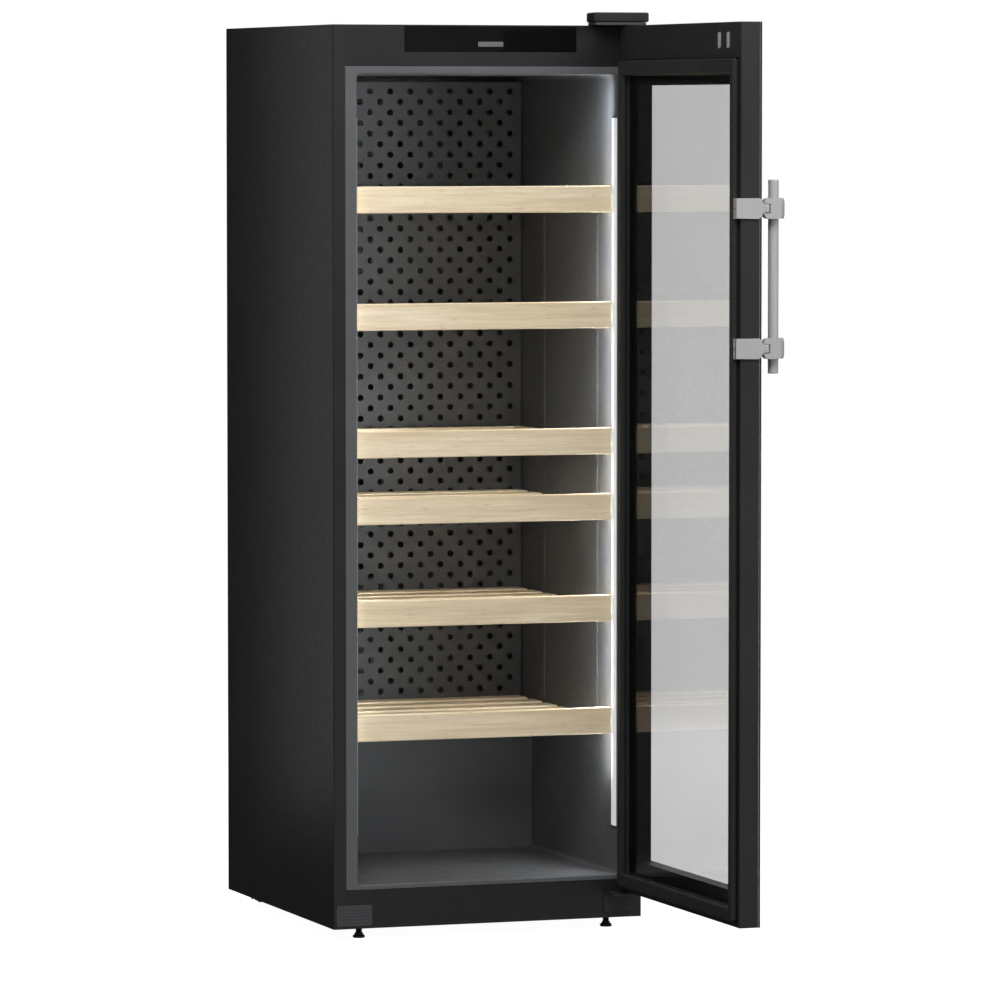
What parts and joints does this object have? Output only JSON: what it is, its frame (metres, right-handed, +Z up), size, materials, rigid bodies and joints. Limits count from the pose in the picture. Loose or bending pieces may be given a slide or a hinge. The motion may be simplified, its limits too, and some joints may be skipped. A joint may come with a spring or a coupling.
{
  "type": "wine cooler",
  "caption": "Tall free-standing black wine cooler with a hinged double-glazed door standing open, a pull-lever bar handle, sliding beech shelves and lit side walls.",
  "frame": {"origin": "middle of the bounding box's footprint on the floor, with the door open at a right angle", "axes": "+Z up, +Y from the front of the cabinet towards its back, +X from its left side towards its right side (the hinge side)"},
  "size_m": [0.632, 1.2762, 1.6835],
  "materials": {
    "black_steel": "satin",
    "black_plastic": "satin",
    "grey_plastic": "satin",
    "gloss_black": "gloss",
    "panel_black": "satin",
    "silver_plastic": "satin",
    "bar_silver": "satin",
    "zinc_steel": "satin",
    "fin_aluminium": "satin",
    "compressor_black": "satin",
    "beech": "satin",
    "foam": "matte",
    "clear_glass": "gloss",
    "gasket_rubber": "matte",
    "led_diffuser": "satin",
    "frame_composite": "satin"
  },
  "bodies": {
    "cabinet": {"left_side_panel": "black_steel", "right_side_panel": "black_steel", "top_panel": "black_steel", "rear_panel": "zinc_steel", "rear_compartment_cover": "zinc_steel", "base_pan": "zinc_steel", "insulation_foam": "foam", "inner_liner": "grey_plastic", "lower_front_rail": "black_plastic", "control_fascia": "black_plastic", "control_panel_glass": "gloss_black", "status_light_bar": "led_diffuser", "spare_hinge_cover_plate": "grey_plastic", "led_strip_left": "led_diffuser", "led_strip_right": "led_diffuser", "shelf_rack_left": "black_steel", "shelf_rack_right": "black_steel", "perforated_duct_panel": "panel_black", "evaporator": "fin_aluminium", "compressor": "compressor_black", "compressor_mount": "zinc_steel", "condenser": "fin_aluminium", "mains_inlet": "black_plastic", "rear_roller_axle": "zinc_steel", "upper_hinge_bracket": "grey_plastic", "upper_hinge_pin": "zinc_steel", "upper_hinge_cover": "black_plastic", "lower_hinge_bracket": "black_steel", "lower_hinge_pin": "zinc_steel"},
    "door": {"door_frame": "frame_composite", "door_outer_glass": "clear_glass", "door_inner_glass": "clear_glass", "glazing_spacer": "black_plastic", "door_gasket": "gasket_rubber", "spare_hinge_plug_1": "silver_plastic", "spare_hinge_plug_2": "silver_plastic", "handle_bracket_upper": "silver_plastic", "handle_bracket_lower": "silver_plastic"},
    "handle_lever": {"handle_arm_upper": "silver_plastic", "handle_arm_lower": "silver_plastic", "handle_bar": "bar_silver"},
    "push_plunger_top": {"push_plunger_upper": "black_plastic"},
    "push_plunger_bottom": {"push_plunger_lower": "black_plastic"},
    "shelf_1": {"shelf_front_1": "beech", "shelf_slats_1": "beech"},
    "shelf_2": {"shelf_front_2": "beech", "shelf_slats_2": "beech"},
    "shelf_3": {"shelf_front_3": "beech", "shelf_frame_3": "beech"},
    "shelf_4": {"shelf_front_4": "beech", "shelf_slats_4": "beech"},
    "shelf_5": {"shelf_front_5": "beech", "shelf_slats_5": "beech"},
    "shelf_6": {"shelf_front_6": "beech", "shelf_slats_6": "beech"},
    "left_foot": {"levelling_foot_left": "black_plastic"},
    "right_foot": {"levelling_foot_right": "black_plastic"},
    "left_roller": {"rear_roller_left": "black_plastic"},
    "right_roller": {"rear_roller_right": "black_plastic"},
    "fan": {"circulation_fan": "black_plastic"}
  },
  "joints": [
    {"name": "door_hinge", "type": "hinge", "parent": "cabinet", "child": "door", "pos_m": [0.258, -0.05865, 0.8665], "axis": [0, 0, 1], "range_deg": [-90, 25], "deforming": ["door_gasket"]},
    {"name": "handle_pull", "type": "hinge", "parent": "door", "child": "handle_lever", "pos_m": [0.2775, -0.63065, 1.21225], "axis": [0, 0, -1], "range_deg": [0, 8], "stiffness_Nm_per_rad": 12},
    {"name": "plunger_push_top", "type": "slide", "parent": "door", "child": "push_plunger_top", "axis": [-1, 0, 0], "range_m": [0, 0.0061]},
    {"name": "plunger_push_bottom", "type": "slide", "parent": "door", "child": "push_plunger_bottom", "axis": [-1, 0, 0], "range_m": [0, 0.0061]},
    {"name": "shelf_1_slide", "type": "slide", "parent": "cabinet", "child": "shelf_1", "axis": [0, -1, 0], "range_m": [0, 0.3]},
    {"name": "shelf_2_slide", "type": "slide", "parent": "cabinet", "child": "shelf_2", "axis": [0, -1, 0], "range_m": [0, 0.3]},
    {"name": "shelf_3_slide", "type": "slide", "parent": "cabinet", "child": "shelf_3", "axis": [0, -1, 0], "range_m": [0, 0.3]},
    {"name": "shelf_4_slide", "type": "slide", "parent": "cabinet", "child": "shelf_4", "axis": [0, -1, 0], "range_m": [0, 0.3]},
    {"name": "shelf_5_slide", "type": "slide", "parent": "cabinet", "child": "shelf_5", "axis": [0, -1, 0], "range_m": [0, 0.3]},
    {"name": "shelf_6_slide", "type": "slide", "parent": "cabinet", "child": "shelf_6", "axis": [0, -1, 0], "range_m": [0, 0.3]},
    {"name": "left_foot_turn", "type": "hinge", "parent": "cabinet", "child": "left_foot", "pos_m": [-0.258, 0.01385, 0.01], "axis": [0, 0, 1], "continuous": true},
    {"name": "right_foot_turn", "type": "hinge", "parent": "cabinet", "child": "right_foot", "pos_m": [0.223, 0.01385, 0.01], "axis": [0, 0, 1], "continuous": true},
    {"name": "left_roller_spin", "type": "hinge", "parent": "cabinet", "child": "left_roller", "pos_m": [-0.267, 0.56685, 0.0095], "axis": [1, 0, 0], "continuous": true},
    {"name": "right_roller_spin", "type": "hinge", "parent": "cabinet", "child": "right_roller", "pos_m": [0.232, 0.56685, 0.0095], "axis": [1, 0, 0], "continuous": true},
    {"name": "fan_spin", "type": "hinge", "parent": "cabinet", "child": "fan", "pos_m": [-0.0175, 0.53785, 1.4], "axis": [0, 1, 0], "continuous": true}
  ],
  "couplings": [
    {"joint": "plunger_push_top", "follows": "handle_pull", "m_per_rad": 0.0429},
    {"joint": "plunger_push_bottom", "follows": "handle_pull", "m_per_rad": 0.0429}
  ]
}
